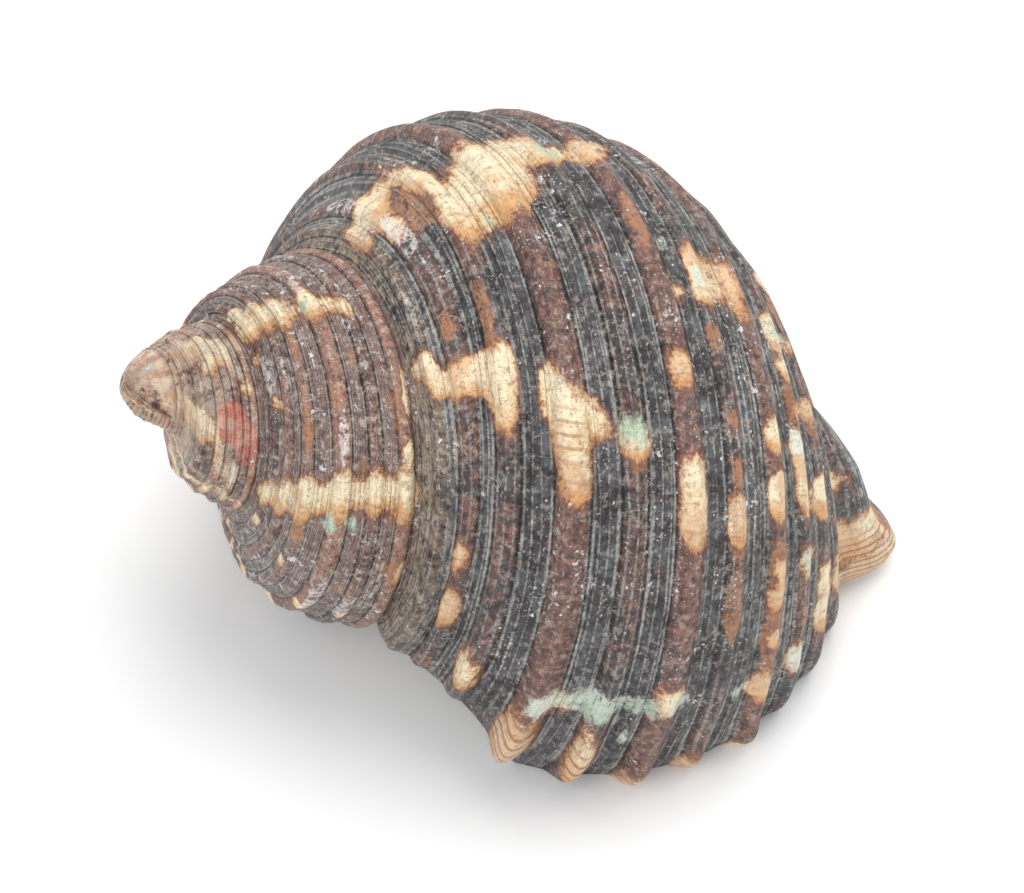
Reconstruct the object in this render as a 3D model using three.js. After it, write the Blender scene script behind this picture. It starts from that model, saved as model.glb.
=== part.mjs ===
// A turban shell lying on its mouth: one closed body, with a wound spire, spiral cords and an open mouth.
// Millimetres, +Z up. The spire points along -X and rises; the mouth faces down.

import * as THREE from 'three';

// Growth: the whorl's section keeps its shape and grows by one ratio in each full turn.
const WHORL_RATIO = 1.84;
const SPIRE_TURNS = 3.1;

// The section of the last whorl at the lip, measured from the shell's axis and from the tip of its cone.
const SECTION_RADIUS = 10.8;
const SECTION_DROP = 45;
const OUTWARD_REACH = 18.8;
const INWARD_REACH = 28.5;
const UPPER_REACH = 19.6;
const LOWER_REACH = 20.3;

// How the shell lies: the axis climbs towards the spire, and the tip of the cone is this high.
const AXIS_CLIMB = 22.2;
const TIP_HEIGHT = 27.7;
const TOP_ANGLE = -125;

// Spiral cords: place round the section in degrees, half width in degrees, height in millimetres.
const CORDS = [
  { place: 66, half: 3.6, height: 0.45 },
  { place: 57, half: 3.8, height: 0.6 },
  { place: 46, half: 4.6, height: 0.7 },
  { place: 29, half: 5.6, height: 1 },
  { place: 13, half: 4.6, height: 0.75 },
  { place: -2, half: 4.8, height: 0.85 },
  { place: -15, half: 4, height: 0.6 },
  { place: -29, half: 4.6, height: 0.75 },
  { place: -41, half: 4.4, height: 0.6 },
  { place: -54, half: 4.6, height: 0.6 },
  { place: -67, half: 4.6, height: 0.55 },
  { place: -80, half: 4.6, height: 0.5 },
];
const CREST_SHARE = 0.55;
const SUTURE_FADE = 5;
const LIP_SWELLING = 0.9;
const LIP_SWELLING_FROM = -50;
const LIP_SWELLING_FULL = -12;
const LIP_ROUNDING = 0.35;
const JOIN_FADE = 30;

// The strong ridge on the base, which ends in a knob at the front of the lip.
const RIDGE_PLACE = -90;
const RIDGE_HALF = 12.5;
const RIDGE_COLUMNS = [-1, -0.62, -0.25, 0.25, 0.62, 0.95];
const RIDGE_HEIGHT = 4.3;
const RIDGE_FROM = -125;
const RIDGE_FULL = -62;
const KNOB_TURN = -31;
const KNOB_PLACE = -86;
const KNOB_HALF_LENGTH = 15;
const KNOB_HALF_WIDTH = 12.5;
const KNOB_HEIGHT = 1.7;
const RIDGE_END_DROP = 0.35;

// The spire leans a little sideways against the last whorl, and its tip is slim.
const LEAN = new THREE.Vector3(-1.8, -4.9, 0);
const LEAN_TIP_SCALE = 0.14;
const LEAN_FROM = -200;
const LEAN_FULL = -400;
const LEAN_BASE_PLACE = -45;
const SHOULDER_PLACE = 40;
const TIP_SLIMMING = 0.3;
const SLIM_FROM = -700;
const SLIM_FULL = -1050;

// Early whorls are flatter between their seams than the last one.
const FLATTENING = 0.65;
const FLAT_FROM = -335;
const FLAT_FULL = -640;

// The lip is cut back between its top and its first big knob.
const LIP_NOTCH = 13;
const NOTCH_PLACE = 44;
const NOTCH_HALF = 30;

// The mouth: wall thicknesses, the pillar on the axis, and how far the tube inside is open.
const RIM_WIDTH = 1.7;
const WALL = 2.4;
const CALLUS = 0.5;
const PILLAR_RADIUS = 3;
const CORNER_ROUND = 1.4;
const THROAT_RADIUS = 17;
const THROAT_DROP = 46;
const CALLUS_SETBACK = -4;
const THROAT_ROWS = [-12, -26, -44, -66];
const TUBE_STEP = 24;
const TUBE_END = -330;

// Mesh steps.
const ROWS_PER_TURN = 30;
const AXIS_STEPS = 6;
const LIP_ROWS_FROM = -36;
const SEAM_CLEARANCE = 1.5;
const COLUMN_CLEARANCE = 1;
const HALVINGS = 40;
const SUTURE_SEARCH_END = 100;
const SMALLEST_SHARE = 1e-6;

// The worn tip of the spire: where it ends on the axis, and the rings that make it a blunt dome.
const BLUNT_TIP_DROP = 4;
const TIP_RINGS = [0.78, 0.52, 0.26];
const TIP_DOME = 1.6;

const FULL_TURN = 360;
const radians = THREE.MathUtils.degToRad;

function growth(turnAngle) {
  return WHORL_RATIO ** (turnAngle / FULL_TURN);
}

function smoothStep(from, to, value) {
  const share = THREE.MathUtils.clamp((value - from) / (to - from), 0, 1);
  return share * share * (3 - 2 * share);
}

// A rounded bump: one at the middle, nothing past the half width.
function bump(distance, half) {
  const share = Math.min(Math.abs(distance) / half, 1);
  return (1 - share * share) ** 2;
}

// The plain section at one angle round it: 0 points out, 90 points to the spire.
function section(angle) {
  const across = Math.cos(radians(angle));
  const along = Math.sin(radians(angle));
  const wide = across > 0 ? OUTWARD_REACH : INWARD_REACH;
  const tall = along > 0 ? UPPER_REACH : LOWER_REACH;
  const steep = new THREE.Vector2(across / wide, -along / tall).normalize();
  return {
    radius: SECTION_RADIUS + wide * across,
    drop: SECTION_DROP - tall * along,
    normal: steep,
  };
}

// How far a point lies from a section's middle, as a share of the section's edge in that direction.
function edgeShare(radius, drop, scale) {
  const across = radius - SECTION_RADIUS * scale;
  const along = drop - SECTION_DROP * scale;
  const wide = (across > 0 ? OUTWARD_REACH : INWARD_REACH) * scale;
  const tall = (along < 0 ? UPPER_REACH : LOWER_REACH) * scale;
  return { share: Math.hypot(across / wide, along / tall), distance: Math.hypot(across, along) };
}

// The suture: where the top of a whorl meets the whorl before it.
function findSuture() {
  let outside = 0;
  let inside = SUTURE_SEARCH_END;
  for (let step = 0; step < HALVINGS; step += 1) {
    const middle = (outside + inside) / 2;
    const point = section(middle);
    const { share } = edgeShare(point.radius, point.drop, 1 / WHORL_RATIO);
    if (share > 1) {
      outside = middle;
    } else {
      inside = middle;
    }
  }
  const point = section(inside);
  const across = (point.radius * WHORL_RATIO - SECTION_RADIUS) / OUTWARD_REACH;
  const along = (point.drop * WHORL_RATIO - SECTION_DROP) / LOWER_REACH;
  return { upper: inside, lower: -THREE.MathUtils.radToDeg(Math.atan2(along, across)) };
}

const SUTURE = findSuture();
const SUTURE_TOP = section(SUTURE.upper);
const SUTURE_LOW = section(SUTURE.lower);
const AXIS_END = -THREE.MathUtils.radToDeg(Math.acos(-SECTION_RADIUS / INWARD_REACH));

// Cords fade out at the sutures, and swell towards the lip.
function cordHeight(turnAngle, angle) {
  let height = 0;
  for (const cord of CORDS) {
    height += cord.height * bump(angle - cord.place, cord.half);
  }
  const upperFade = smoothStep(SUTURE.upper, SUTURE.upper - SUTURE_FADE, angle);
  const openness = smoothStep(-FULL_TURN, -FULL_TURN + JOIN_FADE, turnAngle);
  const lowerFade = smoothStep(SUTURE.lower, SUTURE.lower + SUTURE_FADE, angle);
  const swelling = 1 + LIP_SWELLING * smoothStep(LIP_SWELLING_FROM, LIP_SWELLING_FULL, turnAngle);
  const rounding = 1 - LIP_ROUNDING * smoothStep(LIP_SWELLING_FULL, 0, turnAngle);
  return height * upperFade * Math.max(lowerFade, openness) * swelling * rounding;
}

function ridgeHeight(turnAngle, angle) {
  const rise = smoothStep(RIDGE_FROM, RIDGE_FULL, turnAngle);
  const end = 1 - RIDGE_END_DROP * smoothStep(KNOB_TURN, 0, turnAngle);
  const across = Math.min(Math.abs(angle - RIDGE_PLACE) / RIDGE_HALF, 1);
  const knob = bump(turnAngle - KNOB_TURN, KNOB_HALF_LENGTH) * bump(angle - KNOB_PLACE, KNOB_HALF_WIDTH);
  return RIDGE_HEIGHT * rise * end * (1 - across ** 3) ** 2 + KNOB_HEIGHT * knob;
}

// How far a point of the plain section stands out past the straight line between the two sutures.
function fullness(plain, angle) {
  if (angle < SUTURE.lower) {
    return new THREE.Vector2(0, 0);
  }
  const top = new THREE.Vector2(SUTURE_TOP.radius, SUTURE_TOP.drop);
  const outwards = new THREE.Vector2(SUTURE_LOW.drop - top.y, top.x - SUTURE_LOW.radius).normalize();
  const height = new THREE.Vector2(plain.radius, plain.drop).sub(top).dot(outwards);
  return outwards.multiplyScalar(height);
}

// How far the leaning spire moves a point of the skin.
function lean(whorlTurn, angle) {
  const size = growth(whorlTurn) - LEAN_TIP_SCALE;
  const start = smoothStep(LEAN_FROM, LEAN_FULL, whorlTurn);
  const above = smoothStep(LEAN_BASE_PLACE, SUTURE.lower, angle);
  return LEAN.clone().multiplyScalar(size * start * above);
}

// A point given by its turn, and its radius and drop in the section at the lip, placed as the shell lies.
function place(turnAngle, radius, drop) {
  const scale = growth(turnAngle);
  const round = radians(turnAngle - TOP_ANGLE);
  const climb = radians(AXIS_CLIMB);
  const upward = scale * radius * Math.cos(round);
  const down = scale * drop;
  return new THREE.Vector3(
    Math.sin(climb) * upward + Math.cos(climb) * down,
    -scale * radius * Math.sin(round),
    Math.cos(climb) * upward - Math.sin(climb) * down + TIP_HEIGHT,
  );
}

// A point of the outer skin. Near its seam a whorl follows the whorl before it.
function skinPoint(turnAngle, angle) {
  const plain = section(angle);
  const raised = cordHeight(turnAngle, angle) + ridgeHeight(turnAngle, angle);
  const whorlTurn = turnAngle - FULL_TURN * smoothStep(SHOULDER_PLACE, SUTURE.upper, angle);
  const slim = 1 - TIP_SLIMMING * smoothStep(SLIM_FROM, SLIM_FULL, whorlTurn);
  const cut = fullness(plain, angle);
  cut.multiplyScalar(FLATTENING * smoothStep(FLAT_FROM, FLAT_FULL, turnAngle));
  const radius = Math.max((plain.radius + plain.normal.x * raised - cut.x) * slim, 0);
  const point = place(turnAngle, radius, plain.drop + plain.normal.y * raised - cut.y);
  return point.add(lean(whorlTurn, angle));
}

// The turn at which a line of growth comes down to the ground, or 0 where it stays above it.
function turnAtGround(pointAt) {
  let above = LIP_ROWS_FROM;
  let below = 0;
  if (pointAt(below).z > 0) {
    return below;
  }
  for (let step = 0; step < HALVINGS; step += 1) {
    const middle = (above + below) / 2;
    if (pointAt(middle).z > 0) {
      above = middle;
    } else {
      below = middle;
    }
  }
  return below;
}

// Columns round the section: three to a cord, with a valley between neighbours.
function cordColumns() {
  const columns = [];
  CORDS.forEach((cord, index) => {
    columns.push(cord.place + cord.half * CREST_SHARE);
    columns.push(cord.place - cord.half * CREST_SHARE);
    const next = CORDS[index + 1];
    if (next) {
      columns.push((cord.place - cord.half + next.place + next.half) / 2);
    }
  });
  return columns;
}

function sectionColumns() {
  const cords = cordColumns().filter((angle) => Math.abs(angle - SUTURE.lower) > SEAM_CLEARANCE);
  const upper = cords.filter((angle) => angle > SUTURE.lower);
  const lower = cords.filter((angle) => angle < SUTURE.lower);
  const ridge = RIDGE_COLUMNS.map((share) => RIDGE_PLACE - share * RIDGE_HALF);
  const edge = lower[lower.length - 1];
  const base = ridge.filter((angle) => (
    angle < edge - COLUMN_CLEARANCE && angle > AXIS_END + COLUMN_CLEARANCE
  ));
  const angles = [SUTURE.upper, ...upper, SUTURE.lower, ...lower, ...base, AXIS_END];
  return { angles, seam: upper.length + 1 };
}

// A skin of triangles that shares its corners.
class Skin {
  constructor() {
    this.points = [];
    this.triangles = [];
  }

  add(point) {
    this.points.push(point);
    return this.points.length - 1;
  }

  triangle(first, second, third) {
    if (first !== second && second !== third && third !== first) {
      this.triangles.push(first, second, third);
    }
  }

  // A band between two lines of corners, as long as the shorter one.
  band(near, far) {
    const steps = Math.min(near.length, far.length) - 1;
    for (let step = 0; step < steps; step += 1) {
      this.triangle(near[step], near[step + 1], far[step + 1]);
      this.triangle(near[step], far[step + 1], far[step]);
    }
  }

  fan(loop, middle) {
    for (let step = 0; step < loop.length - 1; step += 1) {
      this.triangle(loop[step], loop[step + 1], middle);
    }
  }
}

// The outer skin, row by row round the spiral. A whorl's top row of corners is the lower edge
// of the whorl before it, and the last turn also has its base, down to the axis.
function addWhorls(skin, columns) {
  const last = Math.round(SPIRE_TURNS * ROWS_PER_TURN);
  const seamColumn = columns.seam;
  const endColumn = columns.angles.length - 1;
  const rows = [];
  const axisCorners = new Map();
  for (let row = 0; row <= last; row += 1) {
    const turnAngle = ((row - last) * FULL_TURN) / ROWS_PER_TURN;
    const onLastTurn = row >= last - ROWS_PER_TURN;
    const corners = [];
    for (let column = 0; column <= (onLastTurn ? endColumn : seamColumn); column += 1) {
      const angle = columns.angles[column];
      if (column === 0 && row >= ROWS_PER_TURN) {
        corners.push(rows[row - ROWS_PER_TURN][seamColumn]);
      } else if (column === endColumn && onLastTurn) {
        corners.push(axisCorner(skin, axisCorners, turnAngle));
      } else {
        const point = skinPoint(lipTurn(turnAngle, angle), angle);
        point.z = Math.max(point.z, 0);
        corners.push(skin.add(point));
      }
    }
    if (row > 0) {
      skin.band(corners, rows[row - 1]);
    }
    rows.push(corners);
  }
  return rows;
}

// Corners on the axis are shared by several rows, so that the base closes without slivers.
function axisCorner(skin, axisCorners, turnAngle) {
  const step = Math.round((-turnAngle / FULL_TURN) * AXIS_STEPS);
  if (!axisCorners.has(step)) {
    const turn = (-step * FULL_TURN) / AXIS_STEPS;
    axisCorners.set(step, skin.add(place(turn, 0, section(AXIS_END).drop)));
  }
  return axisCorners.get(step);
}

// Rows near the lip are drawn together, so that the last one follows the edge of the mouth.
function lipTurn(turnAngle, angle) {
  if (turnAngle <= LIP_ROWS_FROM) {
    return turnAngle;
  }
  const ground = turnAtGround((turn) => skinPoint(turn, angle));
  const notch = -LIP_NOTCH * bump(angle - NOTCH_PLACE, NOTCH_HALF);
  const edge = angle === SUTURE.upper ? 0 : Math.min(ground, notch);
  return LIP_ROWS_FROM + ((turnAngle - LIP_ROWS_FROM) * (edge - LIP_ROWS_FROM)) / -LIP_ROWS_FROM;
}

// The blunt, worn tip closes the hole above the first row.
function addTip(skin, rows, seamColumn) {
  const spiral = rows.slice(0, ROWS_PER_TURN + 1).map((corners) => corners[0]);
  const firstRow = rows[0].slice(0, seamColumn + 1);
  const loop = [...firstRow, ...spiral.slice(0, -1).reverse()];
  const tip = place(0, 0, BLUNT_TIP_DROP);
  const base = place(0, 0, BLUNT_TIP_DROP + TIP_DOME);
  const lift = tip.clone().sub(base);
  const edge = loop.slice(0, -1).map((corner) => skin.points[corner].clone());
  let previous = loop;
  for (const share of TIP_RINGS) {
    const ring = edge.map((corner) => (
      skin.add(corner.clone().lerp(base, 1 - share).addScaledVector(lift, 1 - share ** 2))
    ));
    ring.push(ring[0]);
    skin.band(previous, ring);
    previous = ring;
  }
  skin.fan(previous, skin.add(tip));
}

// Room left in the tube at a point of the section, once the wall, callus and pillar are taken off.
function clearance(radius, drop, wall, callus, pillar) {
  const outer = edgeShare(radius, drop, 1);
  const inner = edgeShare(radius, drop, 1 / WHORL_RATIO);
  const rooms = [
    outer.distance * (1 / Math.max(outer.share, SMALLEST_SHARE) - 1) - wall,
    inner.distance * (1 - 1 / inner.share) - callus,
    radius - pillar,
  ];
  const sum = rooms.reduce((total, room) => total + Math.exp(-room / CORNER_ROUND), 0);
  return -CORNER_ROUND * Math.log(sum);
}

// A corner of the tube's section, straight out from the middle of the throat towards a point.
function tubeCorner(towards, wall, callus, pillar) {
  const heading = new THREE.Vector2(towards.x - THROAT_RADIUS, towards.y - THROAT_DROP).normalize();
  let open = 0;
  let shut = SECTION_DROP;
  for (let step = 0; step < HALVINGS; step += 1) {
    const middle = (open + shut) / 2;
    const radius = THROAT_RADIUS + heading.x * middle;
    const drop = THROAT_DROP + heading.y * middle;
    if (clearance(radius, drop, wall, callus, pillar) > 0) {
      open = middle;
    } else {
      shut = middle;
    }
  }
  return new THREE.Vector2(THROAT_RADIUS + heading.x * open, THROAT_DROP + heading.y * open);
}

// The edge of the mouth: along the outer lip, up the axis, and back over the whorl before.
function mouthEdge(rows, columns) {
  const lip = rows[rows.length - 1];
  const before = rows[rows.length - 1 - ROWS_PER_TURN];
  const edge = [];
  lip.forEach((corner, column) => {
    const angle = columns.angles[column];
    const plain = section(angle);
    edge.push({ corner, angle, heading: new THREE.Vector2(plain.radius, plain.drop) });
  });
  const axisDrop = section(AXIS_END).drop;
  for (let row = rows.length - 2; row > rows.length - 1 - ROWS_PER_TURN; row -= 1) {
    const corner = rows[row][columns.angles.length - 1];
    if (corner !== edge[edge.length - 1].corner) {
      const turnAngle = ((row - rows.length + 1) * FULL_TURN) / ROWS_PER_TURN;
      edge.push({ corner, heading: new THREE.Vector2(0, axisDrop * growth(turnAngle)) });
    }
  }
  for (let column = before.length - 1; column > columns.seam; column -= 1) {
    const plain = section(columns.angles[column]);
    const heading = new THREE.Vector2(plain.radius, plain.drop).divideScalar(WHORL_RATIO);
    if (before[column] !== edge[edge.length - 1].corner) {
      edge.push({ corner: before[column], heading });
    }
  }
  return edge;
}

// The rim is flat where it stands on the ground. Behind it the tube winds back into the shell.
function addMouth(skin, rows, columns) {
  const edge = mouthEdge(rows, columns);
  const edgeTurns = edge.map(({ angle }) => (
    angle === undefined ? CALLUS_SETBACK : lipTurn(0, angle)
  ));
  let previous = edge.map(({ corner }) => corner);
  previous.push(previous[0]);
  const addRing = (wall, turnOf) => {
    const ring = edge.map(({ heading }, index) => {
      const corner = tubeCorner(heading, wall, CALLUS, PILLAR_RADIUS);
      return skin.add(place(turnOf(index, corner), corner.x, corner.y));
    });
    ring.push(ring[0]);
    skin.band(ring, previous);
    previous = ring;
  };
  addRing(RIM_WIDTH, (index, corner) => {
    const ground = turnAtGround((turn) => place(turn, corner.x, corner.y));
    return ground < 0 ? ground : Math.min(edgeTurns[index], CALLUS_SETBACK);
  });
  const depths = [...THROAT_ROWS];
  while (depths[depths.length - 1] - TUBE_STEP >= TUBE_END) {
    depths.push(depths[depths.length - 1] - TUBE_STEP);
  }
  for (const depth of depths) {
    const follow = smoothStep(THROAT_ROWS[THROAT_ROWS.length - 1], 0, depth);
    addRing(WALL, (index) => depth + edgeTurns[index] * follow);
  }
  const deepest = depths[depths.length - 1];
  const deepEnd = skin.add(place(deepest, THROAT_RADIUS, THROAT_DROP));
  skin.fan(previous.reverse(), deepEnd);
}

function shellGeometry() {
  const skin = new Skin();
  const columns = sectionColumns();
  const rows = addWhorls(skin, columns);
  addTip(skin, rows, columns.seam);
  addMouth(skin, rows, columns);
  const geometry = new THREE.BufferGeometry();
  const corners = skin.points.flatMap((point) => point.toArray());
  geometry.setAttribute('position', new THREE.Float32BufferAttribute(corners, 3));
  geometry.setIndex(skin.triangles);
  geometry.computeVertexNormals();
  return geometry;
}

// The part's origin is under the middle of its box, on the ground.
function centred(geometry) {
  geometry.computeBoundingBox();
  const middle = geometry.boundingBox.getCenter(new THREE.Vector3());
  geometry.translate(-middle.x, -middle.y, 0);
  return geometry;
}

const shellMaterial = new THREE.MeshStandardMaterial({
  color: 0x6b5148,
  roughness: 0.5,
  metalness: 0,
});
const shell = new THREE.Mesh(centred(shellGeometry()), shellMaterial);
shell.name = 'turban_shell';

const part = new THREE.Group();
part.add(shell);

export default part;
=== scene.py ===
"""A turban shell lying on its mouth on a pale floor, seen from above with its spire to the left.

The shell's skin is wound row by row from one section that grows by a fixed ratio in each turn.
Lengths in the shell's own formulas are millimetres and angles are degrees. METRE turns them to metres.
"turn" counts growth round the axis, 0 at the lip and less towards the tip.
"place" goes round the section, 90 towards the spire, 0 outwards and -90 towards the base.
"""
import math

import bpy
import numpy as np
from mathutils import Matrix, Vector


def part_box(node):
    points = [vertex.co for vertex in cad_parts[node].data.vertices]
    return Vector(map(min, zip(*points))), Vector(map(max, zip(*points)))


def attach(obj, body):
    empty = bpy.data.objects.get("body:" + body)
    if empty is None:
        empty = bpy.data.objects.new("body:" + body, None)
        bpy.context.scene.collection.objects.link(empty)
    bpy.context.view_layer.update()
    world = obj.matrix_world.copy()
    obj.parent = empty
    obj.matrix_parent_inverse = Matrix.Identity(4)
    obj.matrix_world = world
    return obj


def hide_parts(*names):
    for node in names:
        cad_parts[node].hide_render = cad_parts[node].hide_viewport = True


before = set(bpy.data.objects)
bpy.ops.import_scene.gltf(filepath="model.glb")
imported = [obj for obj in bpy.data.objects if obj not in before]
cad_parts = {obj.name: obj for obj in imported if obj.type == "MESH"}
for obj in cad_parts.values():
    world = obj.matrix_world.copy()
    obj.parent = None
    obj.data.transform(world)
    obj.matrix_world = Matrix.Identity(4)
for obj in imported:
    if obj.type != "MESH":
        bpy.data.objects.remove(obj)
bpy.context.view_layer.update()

METRE = 0.001
FULL_TURN = 360.0
# The map named spiral holds the turn in full turns and the place in quarter turns
QUARTER_TURN = 90.0

# Growth of the shell
WHORL_RATIO = 1.84
SPIRE_TURNS = 3.1
SECTION_RADIUS = 10.8
SECTION_DROP = 45.0
OUTWARD_REACH = 18.8
INWARD_REACH = 28.5
UPPER_REACH = 19.6
LOWER_REACH = 20.3

# How the shell lies
AXIS_CLIMB = 22.2
TIP_HEIGHT = 27.7
TOP_TURN = -125.0

# Main cords: place, half width, height, and how strongly the cord is brown
CORDS = [
    (66.0, 3.6, 0.45, 0.55),
    (57.0, 3.8, 0.60, 0.65),
    (46.0, 4.6, 0.70, 0.65),
    (29.0, 5.6, 1.00, 1.00),
    (13.0, 4.6, 0.75, 0.60),
    (-2.0, 4.8, 0.85, 1.00),
    (-15.0, 4.0, 0.60, 0.60),
    (-29.0, 4.6, 0.75, 0.80),
    (-41.0, 4.4, 0.60, 0.60),
    (-54.0, 4.6, 0.60, 0.70),
    (-67.0, 4.6, 0.55, 0.60),
    (-80.0, 4.6, 0.50, 0.60),
]
# Threads between the cords: place, half width and height
THREADS = [
    (71.3, 1.8, 0.14),
    (61.6, 1.9, 0.20),
    (51.6, 1.9, 0.24),
    (39.2, 1.7, 0.22),
    (36.0, 1.5, 0.18),
    (21.6, 1.6, 0.24),
    (18.9, 1.2, 0.15),
    (6.6, 1.3, 0.22),
    (4.2, 1.1, 0.15),
    (-8.6, 1.2, 0.18),
    (-10.9, 1.1, 0.15),
    (-21.4, 1.9, 0.24),
    (-35.3, 1.7, 0.20),
    (-47.6, 1.8, 0.20),
    (-60.6, 1.9, 0.20),
    (-73.6, 1.9, 0.18),
    (-103.0, 1.5, 0.15),
]
SUTURE_FADE = 5.0
LIP_SWELLING = 0.9
LIP_SWELLING_FROM = -50.0
LIP_SWELLING_FULL = -12.0
LIP_ROUNDING = 0.35
JOIN_FADE = 30.0
# Over this many degrees before the lip's edge, cords and knobs round off
LIP_END = 12.0

# Knobs and low swellings on the cords: turn, place, half length, half width and height
KNOBS = [
    (-4.0, 57.0, 9.0, 5.0, 0.45),
    (-6.0, 46.0, 9.0, 5.5, 0.50),
    (-17.0, 30.0, 11.0, 8.0, 1.05),
    (-18.0, 13.0, 9.0, 6.5, 0.75),
    (-16.0, -2.0, 8.0, 6.0, 0.65),
    (-19.0, -15.0, 7.0, 5.5, 0.55),
    (-21.0, -29.0, 7.0, 6.0, 0.60),
    (-84.0, 29.5, 9.0, 7.0, 0.55),
    (-142.0, 31.0, 10.0, 6.5, 0.35),
    (-96.0, 46.0, 9.0, 5.5, 0.30),
    (-74.0, -2.0, 7.0, 5.5, 0.30),
    (-38.0, 57.0, 8.0, 5.0, 0.35),
    (-25.0, 46.0, 7.0, 5.5, 0.35),
]

# The strong ridge on the base, ending in a knob at the front of the lip
RIDGE_PLACE = -90.0
RIDGE_HALF = 12.5
RIDGE_HEIGHT = 4.3
RIDGE_FROM = -125.0
RIDGE_FULL = -62.0
KNOB_TURN = -31.0
KNOB_PLACE = -86.0
KNOB_HALF_LENGTH = 15.0
KNOB_HALF_WIDTH = 12.5
KNOB_HEIGHT = 1.7
RIDGE_END_DROP = 0.35
SOLE_ROUND = 2.0
SOLE_HALF = 22.0

# The spire leans a little to the side that the photo shows, and its tip is slim
LEAN = (-1.8, -4.9, 0.0)
LEAN_TIP_SCALE = 0.14
LEAN_FROM = -200.0
LEAN_FULL = -400.0
LEAN_BASE_PLACE = -45.0
SHOULDER_PLACE = 40.0
TIP_SLIMMING = 0.3
SLIM_FROM = -700.0
SLIM_FULL = -1050.0
FLATTENING = 0.65
FLAT_FROM = -335.0
FLAT_FULL = -640.0

# The lip is cut back between its top and its first big knob
LIP_NOTCH = 13.0
NOTCH_PLACE = 44.0
NOTCH_HALF = 30.0

# The mouth: walls, the pillar on the axis, and the tube that winds back into the shell
RIM_WALLS = [(0.12, 0.10), (0.45, 0.0), (1.0, 0.0), (1.5, 0.04), (1.85, 0.22)]
WALL = 2.4
CALLUS = 0.5
PILLAR_RADIUS = 3.0
CORNER_ROUND = 1.4
THROAT_RADIUS = 17.0
THROAT_DROP = 46.0
CALLUS_SETBACK = -4.0
LIP_FREE_HEIGHT = 1.0
TUBE_START = -3.0
TUBE_STEP = 14.0
TUBE_END = -330.0
# The uneven edge of the lip is carried into the tube as far as this turn
LIP_FOLLOW_END = -66.0
LIP_ROWS_FROM = -36.0
LIP_CROWDING = 1.5
PILLAR_SOFT_REACH = 9.0
PILLAR_SOFT_STEPS = 80

# Mesh steps
ROWS_PER_TURN = 160
AXIS_STEPS = 32
UPPER_COLUMNS = 120
LOWER_COLUMNS = 106
SOLVE_STEPS = 40

# The blunt worn tip
BLUNT_TIP_DROP = 4.0
TIP_RINGS = (0.9, 0.78, 0.66, 0.54, 0.42, 0.3, 0.18, 0.08)
TIP_DOME = 1.6


def growth(turn):
    return WHORL_RATIO ** (np.asarray(turn, float) / FULL_TURN)


def smooth_step(start, end, value):
    share = np.clip((value - start) / (end - start), 0.0, 1.0)
    return share * share * (3.0 - 2.0 * share)


def bump(distance, half):
    share = np.minimum(np.abs(distance) / half, 1.0)
    return (1.0 - share * share) ** 2


def section(place):
    """Radius, drop and outward direction of the plain section at a place round it."""
    across = np.cos(np.radians(place))
    along = np.sin(np.radians(place))
    wide = np.where(across > 0, OUTWARD_REACH, INWARD_REACH)
    tall = np.where(along > 0, UPPER_REACH, LOWER_REACH)
    out_radius = across / wide
    out_drop = -along / tall
    length = np.hypot(out_radius, out_drop)
    return (SECTION_RADIUS + wide * across, SECTION_DROP - tall * along,
            out_radius / length, out_drop / length)


def edge_share(radius, drop, scale):
    """How far a point lies from a section's middle, as a share of its edge, and in millimetres."""
    across = radius - SECTION_RADIUS * scale
    along = drop - SECTION_DROP * scale
    wide = np.where(across > 0, OUTWARD_REACH, INWARD_REACH) * scale
    tall = np.where(along < 0, UPPER_REACH, LOWER_REACH) * scale
    return np.hypot(across / wide, along / tall), np.hypot(across, along)


def find_suture():
    """The places where the top of a whorl and the flank of the whorl before it meet."""
    outside, inside = 0.0, 100.0
    for _ in range(SOLVE_STEPS):
        middle = (outside + inside) / 2
        radius, drop, _, _ = section(middle)
        if edge_share(radius, drop, 1 / WHORL_RATIO)[0] > 1:
            outside = middle
        else:
            inside = middle
    radius, drop, _, _ = section(inside)
    across = (radius * WHORL_RATIO - SECTION_RADIUS) / OUTWARD_REACH
    along = (drop * WHORL_RATIO - SECTION_DROP) / LOWER_REACH
    return inside, -math.degrees(math.atan2(along, across))


UPPER_SUTURE, LOWER_SUTURE = find_suture()
AXIS_PLACE = -math.degrees(math.acos(-SECTION_RADIUS / INWARD_REACH))


def seam_fade(turn, place):
    """1 on open skin, falling to 0 at the seams with the whorls before and after."""
    upper_fade = smooth_step(UPPER_SUTURE, UPPER_SUTURE - SUTURE_FADE, place)
    lower_fade = smooth_step(LOWER_SUTURE, LOWER_SUTURE + SUTURE_FADE, place)
    openness = smooth_step(-FULL_TURN, -FULL_TURN + JOIN_FADE, turn)
    return upper_fade * np.maximum(lower_fade, openness)


def cord_relief(turn, place):
    height = sum(tall * bump(place - middle, half) for middle, half, tall, _ in CORDS)
    height = height + sum(tall * bump(place - middle, half) for middle, half, tall in THREADS)
    swelling = 1 + LIP_SWELLING * smooth_step(LIP_SWELLING_FROM, LIP_SWELLING_FULL, turn)
    swelling = swelling * (1 - LIP_ROUNDING * smooth_step(LIP_SWELLING_FULL, 0.0, turn))
    return height * seam_fade(turn, place) * swelling


def lip_rounding(turn, place):
    """1 on most of the skin, falling like a quarter circle to 0 at the lip's edge."""
    edge = np.interp(-np.asarray(place), -LIP_PLACES, LIP_TURNS)
    share = np.clip((edge - turn) / LIP_END, 0.0, 1.0)
    return np.sqrt(1 - (1 - share) ** 2)


def knob_relief(turn, place):
    height = 0.0
    for middle_turn, middle_place, long, wide, tall in KNOBS:
        away = ((turn - middle_turn) / long) ** 2 + ((place - middle_place) / wide) ** 2
        height = height + tall * np.maximum(1 - away, 0.0)
    return height


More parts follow.
